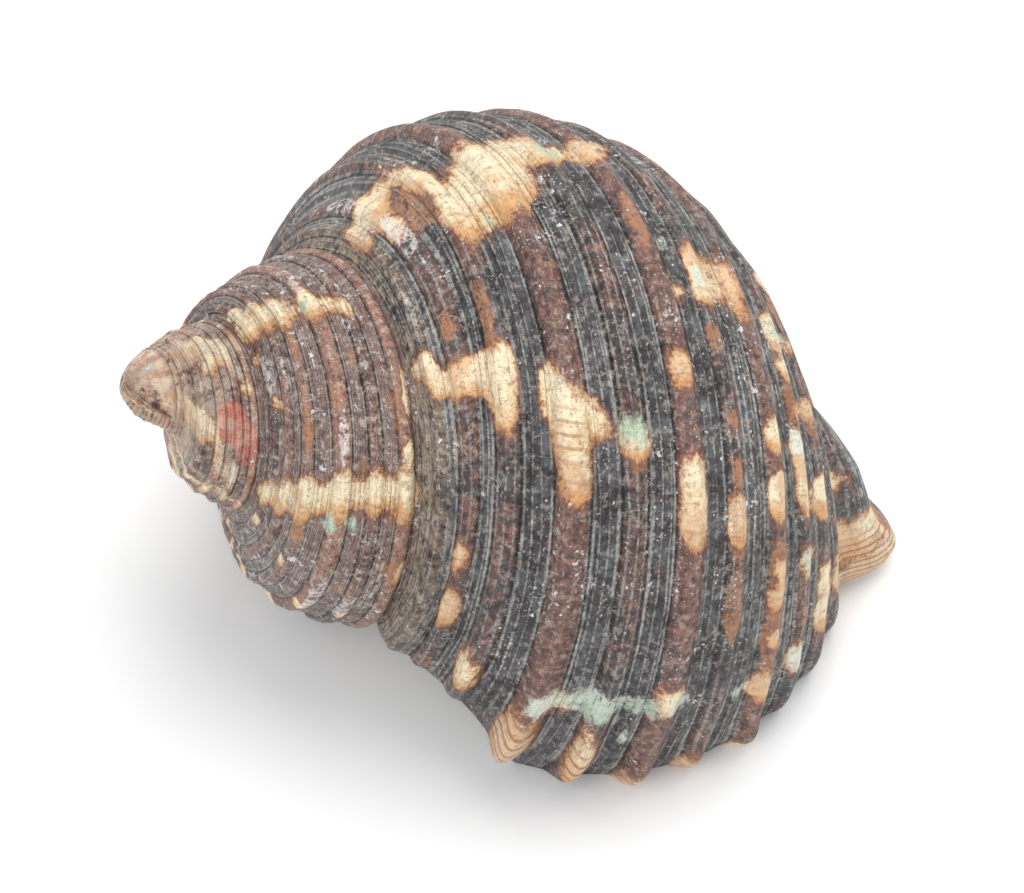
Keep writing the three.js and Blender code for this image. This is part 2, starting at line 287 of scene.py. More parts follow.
def ridge_relief(turn, place):
    rise = smooth_step(RIDGE_FROM, RIDGE_FULL, turn)
    end = 1 - RIDGE_END_DROP * smooth_step(KNOB_TURN, 0.0, turn)
    across = np.minimum(np.abs(place - RIDGE_PLACE) / RIDGE_HALF, 1.0)
    knob = bump(turn - KNOB_TURN, KNOB_HALF_LENGTH) * bump(place - KNOB_PLACE, KNOB_HALF_WIDTH)
    return RIDGE_HEIGHT * rise * end * (1 - across ** 3) ** 2 + KNOB_HEIGHT * knob


def lean(whorl_turn, place):
    """How far the leaning spire moves a point of the skin."""
    share = (growth(whorl_turn) - LEAN_TIP_SCALE) * smooth_step(LEAN_FROM, LEAN_FULL, whorl_turn)
    share = share * smooth_step(LEAN_BASE_PLACE, LOWER_SUTURE, place)
    return np.asarray(share)[..., None] * np.array(LEAN)


def flatten(turn, place, radius, drop):
    """Early whorls are flatter between their seams than the last whorl."""
    top_radius, top_drop, _, _ = section(UPPER_SUTURE)
    low_radius, low_drop, _, _ = section(LOWER_SUTURE)
    length = math.hypot(low_radius - top_radius, low_drop - top_drop)
    out_radius, out_drop = (low_drop - top_drop) / length, (top_radius - low_radius) / length
    height = (radius - top_radius) * out_radius + (drop - top_drop) * out_drop
    share = FLATTENING * smooth_step(FLAT_FROM, FLAT_FULL, turn)
    cut = np.where(place > LOWER_SUTURE, height * share, 0.0)
    return radius - out_radius * cut, drop - out_drop * cut


def lay(turn, radius, drop):
    """A point given by its turn and by its radius and drop in the lip's section, as the shell lies."""
    scale = growth(turn)
    around = np.radians(turn - TOP_TURN)
    climb = math.radians(AXIS_CLIMB)
    upward = scale * radius * np.cos(around)
    down = scale * drop
    x = math.sin(climb) * upward + math.cos(climb) * down
    y = -scale * radius * np.sin(around)
    z = math.cos(climb) * upward - math.sin(climb) * down + TIP_HEIGHT
    return np.stack(np.broadcast_arrays(x, y, z), -1)


def skin_point(turn, place):
    """A point of the outer skin. Near its seam a whorl follows the whorl before it."""
    radius, drop, out_radius, out_drop = section(place)
    radius, drop = flatten(turn, place, radius, drop)
    raised = (cord_relief(turn, place) + knob_relief(turn, place)) * lip_rounding(turn, place)
    raised = raised + ridge_relief(turn, place)
    whorl_turn = turn - FULL_TURN * smooth_step(SHOULDER_PLACE, UPPER_SUTURE, place)
    slim = 1 - TIP_SLIMMING * smooth_step(SLIM_FROM, SLIM_FULL, whorl_turn)
    radius = np.maximum((radius + out_radius * raised) * slim, 0.0)
    return lay(turn, radius, drop + out_drop * raised) + lean(whorl_turn, place)


def turn_at_ground(point_at, count):
    """The turn at which each line of growth comes down to the ground, or 0 where it stays above."""
    above = np.full(count, LIP_ROWS_FROM)
    below = np.zeros(count)
    stays = point_at(below)[:, 2] > 0
    for _ in range(SOLVE_STEPS):
        middle = (above + below) / 2
        high = point_at(middle)[:, 2] > 0
        above = np.where(high, middle, above)
        below = np.where(high, below, middle)
    return np.where(stays, 0.0, below)


class Skin:
    """Points, faces, and the turn and place of each face's corners."""

    def __init__(self):
        self.points = []
        self.count = 0
        self.faces = []
        self.spirals = []
        self.inside = []

    def add(self, points):
        points = np.atleast_2d(points)
        self.points.append(points)
        self.count += len(points)
        return np.arange(self.count - len(points), self.count)

    def band(self, near, far, near_spiral, far_spiral, inside=False):
        """Faces between two lines of corners, as long as the shorter line."""
        size = min(len(near), len(far))
        corners = np.stack([near[:size - 1], near[1:size], far[1:size], far[:size - 1]], 1)
        spiral = np.stack([near_spiral[:size - 1], near_spiral[1:size],
                           far_spiral[1:size], far_spiral[:size - 1]], 1)
        self.faces.append(corners)
        self.spirals.append(spiral)
        self.inside.append(np.full(size - 1, inside))

    def fan(self, loop, middle, loop_spiral, middle_spiral, inside=False):
        near_tip = np.full(len(loop), middle)
        self.band(loop, near_tip, loop_spiral, np.tile(middle_spiral, (len(loop), 1)), inside)


def skin_columns():
    upper = np.linspace(UPPER_SUTURE, LOWER_SUTURE, UPPER_COLUMNS + 1)
    lower = np.linspace(LOWER_SUTURE, AXIS_PLACE, LOWER_COLUMNS + 1)
    return np.concatenate([upper, lower[1:]])


def plain_lip(places):
    """The turn of the lip's edge at each place, for a section without cords."""
    radius, drop, _, _ = section(places)
    edge = turn_at_ground(lambda turn: lay(turn, radius, drop), len(places))
    return np.minimum(edge, -LIP_NOTCH * bump(places - NOTCH_PLACE, NOTCH_HALF))


LIP_PLACES = np.linspace(UPPER_SUTURE, AXIS_PLACE, UPPER_COLUMNS)
LIP_TURNS = plain_lip(LIP_PLACES)


def round_sole(points, turn, places):
    """Keeps the skin above the ground. Under the ridge and its knob the sole has a round edge."""
    width = SOLE_ROUND * bump(places - RIDGE_PLACE, SOLE_HALF) * smooth_step(RIDGE_FROM, RIDGE_FULL, turn)
    points[:, 2] = (points[:, 2] + np.hypot(points[:, 2], width)) / 2
    return points


def wind_whorls(skin, places):
    """The outer skin. A whorl's top line of corners is the seam line of the whorl before it."""
    last = round(SPIRE_TURNS * ROWS_PER_TURN)
    edge = turn_at_ground(lambda turn: skin_point(turn, places), len(places))
    edge = np.minimum(edge, -LIP_NOTCH * bump(places - NOTCH_PLACE, NOTCH_HALF))
    edge[0] = 0.0
    rows, spirals, axis_corners = [], [], {}
    for row in range(last + 1):
        even_turn = (row - last) * FULL_TURN / ROWS_PER_TURN
        on_last_turn = row >= last - ROWS_PER_TURN
        size = len(places) if on_last_turn else UPPER_COLUMNS + 1
        turn = np.full(size, even_turn)
        if even_turn > LIP_ROWS_FROM:
            share = (even_turn - LIP_ROWS_FROM) / -LIP_ROWS_FROM
            share = share * (LIP_CROWDING - (LIP_CROWDING - 1) * share)
            turn = LIP_ROWS_FROM + share * (edge[:size] - LIP_ROWS_FROM)
        points = round_sole(skin_point(turn, places[:size]), turn, places[:size])
        first = 1 if row >= ROWS_PER_TURN else 0
        final = size - 1 if on_last_turn else size
        corners = skin.add(points[first:final])
        if first:
            corners = np.concatenate([[rows[row - ROWS_PER_TURN][UPPER_COLUMNS]], corners])
        if on_last_turn:
            corners = np.append(corners, axis_corner(skin, axis_corners, even_turn))
        spiral = np.stack([turn, places[:size]], 1)
        if row:
            skin.band(corners, rows[-1], spiral, spirals[-1])
        rows.append(corners)
        spirals.append(spiral)
    return rows, spirals, edge


def axis_corner(skin, axis_corners, turn):
    """Corners on the axis are shared by several rows, so that the base closes without slivers."""
    step = round(-turn / FULL_TURN * AXIS_STEPS)
    if step not in axis_corners:
        drop = section(AXIS_PLACE)[1]
        axis_corners[step] = int(skin.add(lay(-step * FULL_TURN / AXIS_STEPS, 0.0, drop))[0])
    return axis_corners[step]


def close_tip(skin, rows, spirals):
    """Rings that shrink to a blunt, rounded tip."""
    spiral_line = np.array([corners[0] for corners in rows[:ROWS_PER_TURN]])
    loop = np.concatenate([rows[0], spiral_line[::-1]])
    turns = np.array([spiral[0] for spiral in spirals[:ROWS_PER_TURN]])
    loop_spiral = np.concatenate([spirals[0], turns[::-1]])
    points = np.concatenate(skin.points)[loop]
    tip = lay(0.0, 0.0, BLUNT_TIP_DROP)
    base = lay(0.0, 0.0, BLUNT_TIP_DROP + TIP_DOME)
    for share in TIP_RINGS:
        dome = 1 - share ** 2
        ring = skin.add((base + (points - base) * share + (tip - base) * dome)[:-1])
        ring = np.append(ring, ring[0])
        skin.band(loop, ring, loop_spiral, loop_spiral)
        loop = ring
    middle = int(skin.add(tip)[0])
    skin.fan(loop, middle, loop_spiral, loop_spiral[0])


def clearance(radius, drop, wall, pillar):
    """Room left in the tube at a point of the section, rounded where walls meet."""
    outer_share, outer_distance = edge_share(radius, drop, 1.0)
    inner_share, inner_distance = edge_share(radius, drop, 1 / WHORL_RATIO)
    rooms = [outer_distance * (1 / np.maximum(outer_share, 1e-6) - 1) - wall,
             inner_distance * (1 - 1 / inner_share) - CALLUS,
             radius - pillar]
    return -CORNER_ROUND * np.log(sum(np.exp(-room / CORNER_ROUND) for room in rooms))


def tube_section(heading, wall):
    """The tube's section: straight out from the middle of the throat as far as the walls allow."""
    open_reach = np.zeros(len(heading))
    shut_reach = np.full(len(heading), SECTION_DROP)
    for _ in range(SOLVE_STEPS):
        middle = (open_reach + shut_reach) / 2
        radius = THROAT_RADIUS + heading[:, 0] * middle
        drop = THROAT_DROP + heading[:, 1] * middle
        free = clearance(radius, drop, wall, PILLAR_RADIUS) > 0
        open_reach = np.where(free, middle, open_reach)
        shut_reach = np.where(free, shut_reach, middle)
    return THROAT_RADIUS + heading[:, 0] * open_reach, THROAT_DROP + heading[:, 1] * open_reach


def mouth_edge(rows, places, edge):
    """The corners round the mouth, with their section points and how far their edge is set back."""
    lip_radius, lip_drop, _, _ = section(places)
    corners, targets, turns = list(rows[-1]), list(zip(lip_radius, lip_drop)), list(edge)
    axis_drop = float(section(AXIS_PLACE)[1])
    for row in range(len(rows) - 2, len(rows) - 1 - ROWS_PER_TURN, -1):
        corner = rows[row][-1]
        if corner != corners[-1]:
            turn = (row - len(rows) + 1) * FULL_TURN / ROWS_PER_TURN
            corners.append(corner)
            targets.append((0.0, axis_drop * float(growth(turn))))
            turns.append(CALLUS_SETBACK)
    before = rows[len(rows) - 1 - ROWS_PER_TURN]
    for column in range(len(before) - 1, UPPER_COLUMNS, -1):
        if before[column] != corners[-1]:
            corners.append(before[column])
            targets.append((lip_radius[column] / WHORL_RATIO, lip_drop[column] / WHORL_RATIO))
            turns.append(CALLUS_SETBACK)
    heading = np.array(targets) - np.array([THROAT_RADIUS, THROAT_DROP])
    heading /= np.linalg.norm(heading, axis=1)[:, None]
    return np.array(corners), heading, np.array(turns)


def open_mouth(skin, rows, places, edge):
    """The rim, flat where it stands on the ground, and the tube that winds back behind it."""
    corners, heading, setback = mouth_edge(rows, places, edge)
    previous = np.append(corners, corners[0])
    around = np.linspace(0.0, 1.0, len(previous))
    depth_spiral = np.stack([np.zeros(len(previous)), around], 1)
    low_enough = np.concatenate(skin.points)[corners][:, 2] < LIP_FREE_HEIGHT
    can_stand = low_enough | (setback >= CALLUS_SETBACK)

    def add_ring(points, depth):
        nonlocal previous, depth_spiral
        ring = skin.add(points)
        ring = np.append(ring, ring[0])
        spiral = np.stack([np.full(len(ring), depth), around], 1)
        skin.band(ring, previous, spiral, depth_spiral, inside=True)
        previous, depth_spiral = ring, spiral

    for wall, lift in RIM_WALLS:
        radius, drop = tube_section(heading, wall)
        ground = turn_at_ground(lambda turn: lay(turn, radius, drop), len(radius))
        stands = can_stand & (ground < 0)
        turn = np.where(stands, ground, np.minimum(setback, CALLUS_SETBACK * wall / WALL))
        points = lay(turn, radius, drop)
        points[:, 2] += lift * stands
        add_ring(points, 0.0)
    radius, drop = tube_section(heading, WALL)
    for depth in np.arange(TUBE_START, TUBE_END, -TUBE_STEP):
        follow = smooth_step(LIP_FOLLOW_END, 0.0, depth)
        add_ring(lay(depth + setback * follow, radius, drop), depth)
    middle = int(skin.add(lay(depth, THROAT_RADIUS, THROAT_DROP))[0])
    skin.fan(previous[::-1], middle, depth_spiral[::-1], np.array([depth, 0.5]), inside=True)


def soften_pillar(points, corners):
    """Rounds the sharp corner where the lip ends at the pillar on the axis."""
    end = lay(0.0, 0.0, section(AXIS_PLACE)[1])
    weight = smooth_step(PILLAR_SOFT_REACH, 0.5 * PILLAR_SOFT_REACH,
                         np.linalg.norm(points - end, axis=1))
    near = corners[(weight[corners] > 0).any(1)]
    pairs = np.concatenate([near[:, [step, (step + 1) % 4]] for step in range(4)])
    pairs = pairs[pairs[:, 0] != pairs[:, 1]]
    pairs = np.concatenate([pairs, pairs[:, ::-1]])
    count = np.bincount(pairs[:, 0], minlength=len(points))[:, None]
    for _ in range(PILLAR_SOFT_STEPS):
        total = np.zeros_like(points)
        np.add.at(total, pairs[:, 0], points[pairs[:, 1]])
        average = np.where(count > 0, total / np.maximum(count, 1), points)
        points = points + 0.5 * weight[:, None] * (average - points)
    return points


def mesh_of(skin):
    """The skin as one mesh, with the spiral coordinates kept on the corners of its faces."""
    corners = np.concatenate(skin.faces)
    points = soften_pillar(np.concatenate(skin.points), corners)
    spirals = np.concatenate(skin.spirals)
    inside = np.concatenate(skin.inside)
    faces, face_spirals, face_inside = [], [], []
    for quad, spiral, within in zip(corners.tolist(), spirals.tolist(), inside.tolist()):
        kept = [step for step in range(4) if quad[step] != quad[step - 1]]
        if len(kept) > 2:
            faces.append([quad[step] for step in kept])
            face_spirals.extend(spiral[step] for step in kept)
            face_inside.append(within)
    low, high = points.min(0), points.max(0)
    cad_low, cad_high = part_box("turban_shell")
    middle = (low + high) / 2 * METRE
    shift = [(cad_low[axis] + cad_high[axis]) / 2 - middle[axis] for axis in (0, 1)] + [cad_low[2]]
    placed = points * METRE + np.array(shift)
    mesh = bpy.data.meshes.new("turban shell")
    mesh.from_pydata(placed.tolist(), [], faces)
    mesh.shade_smooth()
    return mesh, np.array(face_spirals), np.array(face_inside)


# Marks on the skin: turn, place, half length along the whorl and half width across it.
# They lie as in the photo on the side that it shows.
CREAM_MARKS = [
    # Streak at the top of the last whorl, from the seam down
    (-155, 67, 9.6, 4.8), (-160, 60, 7.2, 4.8), (-162, 53, 8.4, 5.4), (-152, 46, 6, 4.2),
    (-146, 57, 6, 3), (-134, 41, 10.8, 9), (-143, 31, 13.2, 12), (-137, 24, 6, 6),
    (-149, 20, 6, 4.8), (-145, 11, 5.4, 6),
    (-144, -1, 5, 8), (-149, -9, 4, 3.5),
    # Streak nearer the lip
    (-102, 71, 4.5, 4), (-98, 62, 5.5, 4.5), (-95, 56, 4, 4), (-89, 47, 8, 5.5), (-97, 44, 5, 3),
    (-86, 30, 7, 7.5), (-93, 34, 5, 3.5), (-75.5, 28, 4.5, 5.5), (-87, 22, 4, 4), (-83, 12, 4, 6),
    (-77, -2.5, 6, 5), (-69, -2.5, 4, 4.5), (-96, -2, 4, 4), (-96, 51, 6, 4), (-104, 66, 5, 4),
    # Patches before the lip and on its knobs
    (-52, 58, 5, 3.5), (-37, 57, 7, 4.5), (-26, 47, 6, 5), (-7, 46, 6, 5),
    (-17, 30, 10, 7.5), (-31, 22, 4, 5), (-20, 13, 9, 4.5), (-37, -3, 3.5, 6),
    (-12, -2, 8, 5), (-17, -14, 6, 4.5), (-36, -27, 4.5, 6), (-16, -28, 6, 5), (-14, -41, 6, 5),
    # Flames on the base
    (-114, -23, 8, 8), (-110, -7, 3, 2.5), (-105, -44, 4, 11), (-90, -49, 3.5, 12),
    (-83, -40, 3, 7), (-71, -50, 4.5, 13), (-60, -43, 4, 7), (-52, -55, 4, 7),
    (-38, -41, 5.5, 6), (-47, -29, 2.5, 3), (-61, -29, 2.5, 3), (-76, -29, 2.5, 3),
    (-78, -92, 9, 7), (-28, -87, 12, 12), (-40, -70, 4.5, 5), (-66, -76, 4.5, 6), (-95, -72, 5, 8),
    # Whorl before the last
    (-394, 70, 8, 5), (-402, 62, 9, 6), (-409, 53, 10, 6), (-414, 45, 10, 6), (-418, 37, 9, 6),
    (-421, 29, 9, 6), (-423, 20, 9, 6), (-424, 11, 9, 6), (-424, 2, 10, 6), (-424, -6, 9, 4),
    (-494, 70, 16, 6), (-496, 61, 15, 6), (-495, 51, 13, 6), (-494, 41, 12, 6),
    (-493, 30, 10, 6), (-491, 20, 8, 5), (-487, 12, 6, 4), (-460, -5, 5, 3), (-438, -3, 4, 3),
    (-378, 66, 5, 4), (-372, 12, 4, 4), (-447, 62, 5, 4), (-452, -4, 5, 3), (-512, 68, 5, 4),
    (-366, 30, 4, 4), (-381, 48, 4, 3), (-398, -4, 6, 4), (-470, 70, 6, 4),
    # Early whorls
    (-866, 66, 14.5, 10.2), (-862, 52, 15.9, 13), (-856, 38, 14.5, 11.6), (-850, 22, 13, 10.2),
    (-790, 64, 13, 13), (-785, 50, 11.6, 11.6), (-778, 38, 14.5, 11.6), (-829, 36, 10.2, 8.7),
    (-837, 17, 13, 11.6), (-813, 5, 8.7, 8.7), (-752, 18, 17.4, 14.5), (-700, 40, 10.2, 26.1),
    (-655, 30, 8.7, 20.3), (-610, 44, 7.2, 17.4), (-572, 30, 7.2, 20.3),
]
ORANGE_MARKS = [
    (-155, 67, 9.6, 4.8), (-150, 51, 8.4, 5.4), (-142, 51, 8.4, 4.8), (-147, 12, 7.2, 4.8),
    (-145, -2, 5, 7), (-108, 47, 12, 3.5), (-110, 57, 6, 3),
    (-80, 12, 3, 5), (-96, -2, 5, 4), (-98, 58, 4, 8),
    (-75, 29, 6, 6), (-102, -14, 4, 3), (-70, -2, 5, 4), (-125, -2, 8, 3), (-52, 58, 6, 4),
    (-88, -15, 3, 2.5), (-80, -15, 3, 2.5), (-73, -15, 3, 2.5), (-65, -15, 3, 2.5),
    (-58, -15, 3, 2.5), (-50, -15, 3, 2.5), (-37, 57, 8, 4), (-16, 30, 12, 8), (-17, 13, 9, 5),
    (-17, -14, 7, 5), (-12, -2, 7, 5), (-115, -25, 9, 8), (-36, -27, 5, 5), (-90, -49, 4, 12),
    (-69, -50, 3, 12), (-47, -29, 3, 3), (-61, -29, 3, 3), (-76, -29, 3, 3), (-26, -82, 14, 8),
    (-400, 46, 8, 5), (-402, 60, 6, 6), (-418, 4, 8, 7), (-413, 50, 6, 6), (-477, 46, 8, 4),
    (-482, 60, 6, 4), (-450, 3, 14, 4), (-430, 19, 12, 4), (-445, 45, 18, 4), (-762, -2, 13, 8.7),
    (-470, 19, 8, 4), (-850, 0, 11.6, 10.2), (-873, 40, 8.7, 29), (-500, 62, 5, 10), (-880, 20, 11.6, 23.2),
    (-398, 2, 6, 8), (-385, 20, 5, 5), (-455, 30, 6, 4),
]
MINT_MARKS = [
    (-145, 10, 4, 5), (-85, 13, 3.5, 6), (-30, 27, 3, 4), (-32, 20, 3.5, 5), (-34, 13, 3.5, 6),
    (-35, 4, 3, 5), (-36, -6, 3, 4), (-106, -44, 3.5, 10), (-83.5, -40, 3.5, 6), (-60, -43, 3.5, 6),
    (-38, -41, 5, 5), (-36, -22, 3, 4), (-409, 33, 6, 4), (-412, 22, 5, 4), (-26, 5, 4, 2.5),
    (-130, 37, 4, 3.5), (-493, 34, 4, 4), (-120, -8, 3, 3), (-114, -15, 3, 3),
]
PINK_MARKS = [
    (-790, 20, 20, 17), (-776, 3, 14.5, 10.2),
]
WORN_MARKS = [
    (-143, 57, 14, 3), (-174, 57, 10, 2.5), (-120, 66, 12, 2.5), (-462, 65, 14, 4), (-464, 53, 8, 4),
    (-372, 66, 14, 4), (-364, 53, 16, 4), (-378, 39, 9, 4), (-375, 27, 17, 4), (-375, 14, 10, 4),
    (-390, 6, 22, 4), (-752, 16, 15, 15), (-440, 28, 12, 3), (-505, 30, 8, 3), (-535, 14, 12, 4),
    (-470, 38, 10, 3), (-855, 70, 14, 6),
]
# Small marks strewn along the cords of the base, with the least and the most of each size
STREWN_TURNS = (-128.0, -42.0)
STREWN_CORDS = (-15.0, -29.0, -41.0, -54.0)
STREWN_COUNT = 7
STREWN_LENGTHS = (2.5, 5.0)
STREWN_WIDTHS = (3.0, 4.5)
STREWN_CREAM_SHARE = 0.55
# Flames on the hidden sides: each is a chain of marks from a high place down to a low one
HIDDEN_SEED = 23
FLAME_PLACING = (0.2, 0.8)
FLAME_LEANS = (-0.18, 0.25)
FLAME_TOP_DROP = 8.0
FLAME_LENGTHS = (3.5, 9.0)
FLAME_WIDTHS = (4.5, 9.0)
FLAME_STEPS = (0.9, 1.5)
FLAME_WAVER = 1.6
ORANGE_WAVER = 3.0
CREAM_SHARE = 0.82
ORANGE_SHARE = 0.4
MINT_SHARE = 0.16
PINK_SHARE = 0.1
HIDDEN_FLAMES = [
    # First and last turn, highest and lowest place, and how many flames
    (-350.0, -225.0, 70.0, -8.0, 5),
    (-350.0, -130.0, -14.0, -88.0, 9),
    (-60.0, -10.0, -46.0, -88.0, 2),
    (-740.0, -575.0, 70.0, -6.0, 5),
    (-1060.0, -890.0, 70.0, -6.0, 5),
]
# How far the pale worn tip reaches, in metres, and the pale base knob, in degrees
TIP_PALE_REACH = 0.0085
KNOB_PALE_LENGTH = 22.0
KNOB_PALE_WIDTH = 20.0
# A cord's colour ends and is full at these shares of its half width
CORD_EDGE = 1.1
CORD_TOP = 0.6
# Marks are reckoned to this many times their size, and end and are full at these depths
MARK_REACH = 2.5
MARK_EDGE = 0.5
MARK_TOP = 1.1
MARK_LEAST = 0.1


def hidden_flames():
    """Flames like those in the photo, for the sides that it doesn't show."""
    chance = np.random.default_rng(HIDDEN_SEED)
    cream, orange, mint, pink = [], [], [], []
    for place in STREWN_CORDS:
        for turn in chance.uniform(*STREWN_TURNS, STREWN_COUNT):
            mark = (turn, place, chance.uniform(*STREWN_LENGTHS), chance.uniform(*STREWN_WIDTHS))
            (cream if chance.random() < STREWN_CREAM_SHARE else orange).append(mark)
    for first, last, high, low, count in HIDDEN_FLAMES:
        for index in range(count):
            turn = first + (index + chance.uniform(*FLAME_PLACING)) * (last - first) / count
            slant = chance.uniform(*FLAME_LEANS)
            place = high - chance.uniform(0.0, FLAME_TOP_DROP)
            while place > low:
                long, wide = chance.uniform(*FLAME_LENGTHS), chance.uniform(*FLAME_WIDTHS)
                middle = turn + (high - place) * slant + chance.normal(0.0, FLAME_WAVER)
                if chance.random() < CREAM_SHARE:
                    cream.append((middle, place, long, wide))
                if chance.random() < ORANGE_SHARE:
                    orange.append((middle + chance.normal(0.0, ORANGE_WAVER), place, long, wide * 0.6))
                if chance.random() < MINT_SHARE:
                    mint.append((middle, place, long * 0.7, wide * 0.6))
                if chance.random() < PINK_SHARE:
                    pink.append((middle, place, long * 0.7, wide * 0.5))
                place -= wide * chance.uniform(*FLAME_STEPS)
    return cream, orange, mint, pink


def mark_field(marks, turn, place):
    """How deep each corner lies in the marks, and how far towards the lip it lies in them.

    The depth is 0 at a mark's edge and about 1 in its middle. The second goes from -1 to 1.
    """
    field, ahead = np.zeros(len(turn)), np.zeros(len(turn))
    order = np.argsort(turn)
    sorted_turn = turn[order]
    for middle, height, long, wide in marks:
        span = order[np.searchsorted(sorted_turn, middle - MARK_REACH * long):
                     np.searchsorted(sorted_turn, middle + MARK_REACH * long)]
        distance = np.hypot((turn[span] - middle) / long, (place[span] - height) / wide)
        share = np.exp(-distance ** 2)
        field[span] += share
        ahead[span] += share * (turn[span] - middle) / long
    ahead = ahead / np.maximum(field, MARK_LEAST)
    return (np.minimum(field, MARK_TOP) - MARK_EDGE) / (1 - MARK_EDGE), np.clip(ahead, -1, 1)


def spots_and_corners(mesh):
    """Where the mesh's points are, and which point is at each corner of a face."""
    spots = np.empty(len(mesh.vertices) * 3)
    mesh.vertices.foreach_get("co", spots)
    corners = np.empty(len(mesh.loops), np.int32)
    mesh.loops.foreach_get("vertex_index", corners)
    return spots.reshape(-1, 3), corners


def paint_fields(mesh, spirals):
    """Writes the spiral coordinates and the marks to the corners of the faces."""
    turn, place = spirals[:, 0], spirals[:, 1]
    layer = mesh.uv_layers.new(name="spiral")
    layer.data.foreach_set("uv", (spirals / [FULL_TURN, QUARTER_TURN]).astype(np.float32).ravel())
    cream, orange, mint, pink = hidden_flames()
    cream_depth, cream_ahead = mark_field(CREAM_MARKS + cream, turn, place)
    crest = sum(smooth_step(half * CORD_EDGE, half * CORD_TOP, np.abs(place - middle)) * strength
                for middle, half, _, strength in CORDS)
    pale_knob = bump(turn - KNOB_TURN, KNOB_PALE_LENGTH) * bump(place - KNOB_PLACE, KNOB_PALE_WIDTH)
    spots, corners = spots_and_corners(mesh)
    from_tip = np.linalg.norm(spots - spots[spots[:, 0].argmin()], axis=1)[corners]
    fields = {
        "tip": smooth_step(TIP_PALE_REACH, 0.4 * TIP_PALE_REACH, from_tip),
        "crest": crest,
        "cream": cream_depth,
        "ahead": cream_ahead,
        "orange": mark_field(ORANGE_MARKS + orange, turn, place)[0],
        "mint": mark_field(MINT_MARKS + mint, turn, place)[0],
        "pink": mark_field(PINK_MARKS + pink, turn, place)[0],
        "worn": mark_field(WORN_MARKS, turn, place)[0],
        "knob": knob_relief(turn, place) + pale_knob,
    }
    for name, values in fields.items():
        attribute = mesh.attributes.new(name, "FLOAT", "CORNER")
        attribute.data.foreach_set("value", np.broadcast_to(values, turn.shape).astype(np.float32))


# Fine relief, in metres. The growth waves are drawn out along the lines of growth.
RELIEF_SIZES = {"Growth Wave Height": 0.00022, "Growth Waves Per Degree": 0.11,
                "Lump Height": 0.0003, "Lumps Per Metre": 260.0, "Seed": 4.0}
WAVE_STRETCH = (1.0, 0.12, 0.0)
RELIEF_FREE_HEIGHT = 0.0015


def relief_weights(mesh, spirals, inside):
    """Writes to each point where the fine relief may lift it, and its spiral coordinates."""
    spots, corners = spots_and_corners(mesh)
    sizes = np.empty(len(mesh.polygons), np.int32)
    mesh.polygons.foreach_get("loop_total", sizes)
    corner_inside = np.repeat(inside, sizes)
    turn, place = spirals[:, 0], spirals[:, 1]
    free = seam_fade(turn, place) * smooth_step(AXIS_PLACE, AXIS_PLACE + SUTURE_FADE, place)
    free = np.where(corner_inside, 0.0, free)
    weight = np.ones(len(mesh.vertices))
    np.minimum.at(weight, corners, free)
    weight *= smooth_step(0.0, RELIEF_FREE_HEIGHT, spots[:, 2])
    track = np.zeros((len(mesh.vertices), 3))
    track[corners, :2] = spirals
    mesh.attributes.new("relief", "FLOAT", "POINT").data.foreach_set("value", weight.astype(np.float32))
    mesh.attributes.new("track", "FLOAT_VECTOR", "POINT").data.foreach_set(
        "vector", track.astype(np.float32).ravel())
    mesh.attributes.new("inside", "BOOLEAN", "FACE").data.foreach_set("value", inside)


